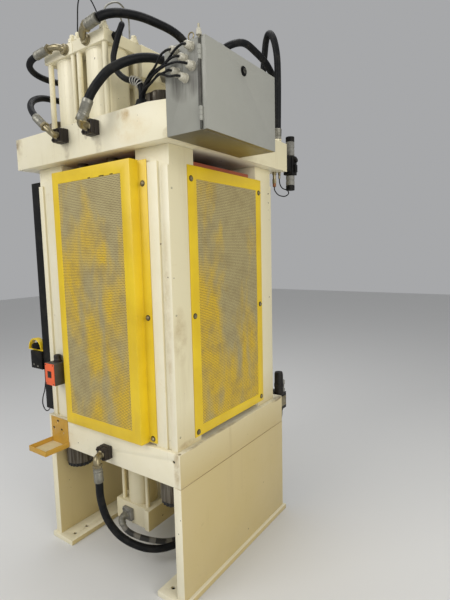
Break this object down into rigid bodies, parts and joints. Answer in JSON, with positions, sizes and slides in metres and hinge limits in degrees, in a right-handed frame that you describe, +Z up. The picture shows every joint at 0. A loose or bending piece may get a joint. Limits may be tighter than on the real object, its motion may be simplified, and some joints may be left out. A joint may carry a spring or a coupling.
{
  "type": "hydraulic press",
  "caption": "Column press with a slide driven down by cylinders on its crown, boxed side guards, hoses, a control enclosure and an ejector under its bed",
  "frame": {"origin": "centre of the footprint, at the floor, hoses apart", "axes": "+Z up, -Y towards the operator, +X towards the side with the crown's hose blocks"},
  "size_m": [1.2439, 1.3924, 2.7536],
  "materials": {
    "cream": "semi-gloss paint",
    "yellow": "semi-gloss paint",
    "perforated": "painted perforated sheet",
    "dark_steel": "oily steel",
    "bright_steel": "ground",
    "red_brown": "oxide primer",
    "black": "satin",
    "black_plastic": "satin",
    "grey": "satin paint",
    "fitting": "plated",
    "hose": "satin rubber"
  },
  "bodies": {
    "frame": {"bed": "cream", "leg_left": "cream", "leg_right": "cream", "foot_bar_left": "cream", "foot_bar_right": "cream", "crown": "cream", "side_guard_near": "yellow", "side_guard_far": "yellow", "side_guard_mesh_near": "perforated", "side_guard_mesh_far": "perforated", "rear_guard": "yellow", "rear_guard_mesh": "perforated", "light_bar_near": "black", "light_bar_far": "black", "palm_box": "black_plastic", "palm_guard": "yellow", "switch_box": "black_plastic", "tray": "yellow", "enclosure_body": "grey", "hinge_pin": "fitting", "valve": "black", "manifold": "cream", "ejector_barrel": "cream", "ejector_cap": "cream", "crown_fitting_a": "fitting", "crown_fitting_b": "fitting", "cap_fitting_a": "fitting", "cap_fitting_b": "fitting", "bed_fitting": "fitting", "rear_fitting": "fitting", "column_near_right": "cream", "strain_rod_near_right": "dark_steel", "cylinder_barrel_near_right": "cream", "cylinder_cap_near_right": "cream", "column_near_left": "cream", "strain_rod_near_left": "dark_steel", "cylinder_barrel_near_left": "cream", "cylinder_cap_near_left": "cream", "column_far_right": "cream", "strain_rod_far_right": "dark_steel", "cylinder_barrel_far_right": "cream", "cylinder_cap_far_right": "cream", "column_far_left": "cream", "strain_rod_far_left": "dark_steel", "cylinder_barrel_far_left": "cream", "cylinder_cap_far_left": "cream", "hose_cap_b": "hose", "hose_crown_b": "hose", "hose_crown_a": "hose", "hose_cap_a": "hose", "hose_rear_low": "hose", "hose_rear_tall": "hose", "hose_bed": "hose", "hose_ejector": "hose", "cable_bundle": "hose"},
    "ram": {"slide": "red_brown"},
    "ejector": {"ejector_rod": "bright_steel"},
    "door": {"enclosure_door": "grey"},
    "lock": {"door_lock": "black_plastic"},
    "button": {"palm_button": "black_plastic"}
  },
  "joints": [
    {"name": "slide_travel", "type": "slide", "parent": "frame", "child": "ram", "axis": [0, 0, -1], "range_m": [0, 0.2]},
    {"name": "ejector_travel", "type": "slide", "parent": "frame", "child": "ejector", "axis": [0, 0, 1], "range_m": [0, 0.15]},
    {"name": "door_hinge", "type": "hinge", "parent": "frame", "child": "door", "pos_m": [0.49318, 0.66715, 2.15], "axis": [0, 0, -1], "range_deg": [0, 110]},
    {"name": "lock_turn", "type": "hinge", "parent": "door", "child": "lock", "pos_m": [0.24218, 0.69015, 2.2621], "axis": [0, 1, 0], "range_deg": [0, 90]},
    {"name": "button_press", "type": "slide", "parent": "frame", "child": "button", "axis": [0, 0, -1], "range_m": [0, 0.006], "stiffness_N_per_m": 1500, "springref_m": -0.003}
  ]
}
